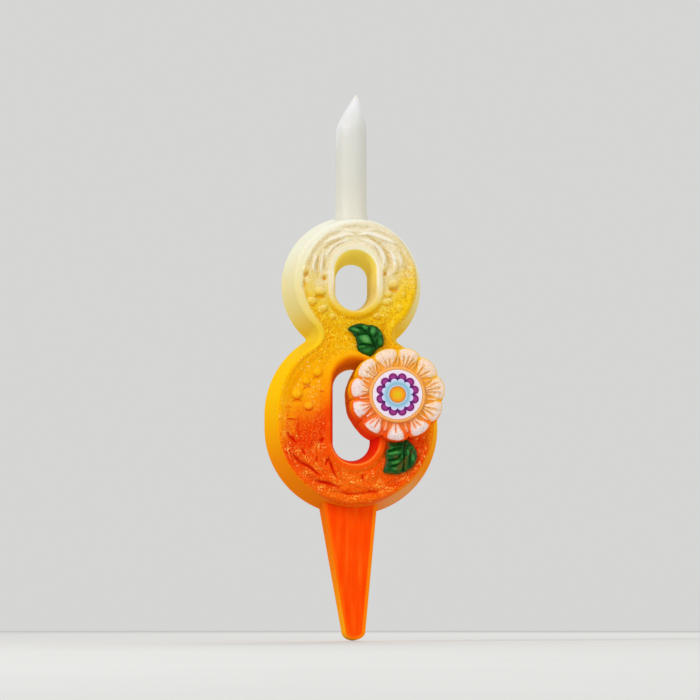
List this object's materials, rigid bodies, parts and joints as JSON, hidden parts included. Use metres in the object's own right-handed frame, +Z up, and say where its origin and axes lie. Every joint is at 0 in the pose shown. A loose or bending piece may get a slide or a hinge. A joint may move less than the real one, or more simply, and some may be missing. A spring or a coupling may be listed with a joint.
{
  "type": "number birthday candle",
  "caption": "Wax candle shaped as the digit 8, with a wick stem on top, a tapered stake below to push into a cake, and a flower with two leaves on its right side.",
  "frame": {"origin": "middle of the stake's section where it leaves the digit, level with the surface of the cake", "axes": "+Z up along the candle, -Y out of the decorated front, +Y out of the flat back, +X to the right as seen from the front"},
  "size_m": [0.0529, 0.0211, 0.1638],
  "materials": {
    "figure_wax": "paraffin wax, airbrushed from ivory through golden yellow to red-orange, with fine glitter on the front",
    "stake_wax": "smooth red-orange paraffin wax",
    "stem_wax": "smooth white paraffin wax",
    "wick_cotton": "braided cotton soaked in wax",
    "flower_wax": "paraffin wax, peach-white petals with glitter over orange",
    "printed_disc": "printed disc with a round flower pattern",
    "leaf_wax": "green paraffin wax with embossed veins"
  },
  "bodies": {
    "root": {"digit_body": "figure_wax", "cake_stake": "stake_wax", "wick_stem": "stem_wax", "wick": "wick_cotton", "flower": "flower_wax", "medallion": "printed_disc", "leaf_upper": "leaf_wax", "leaf_lower": "leaf_wax"}
  },
  "joints": []
}
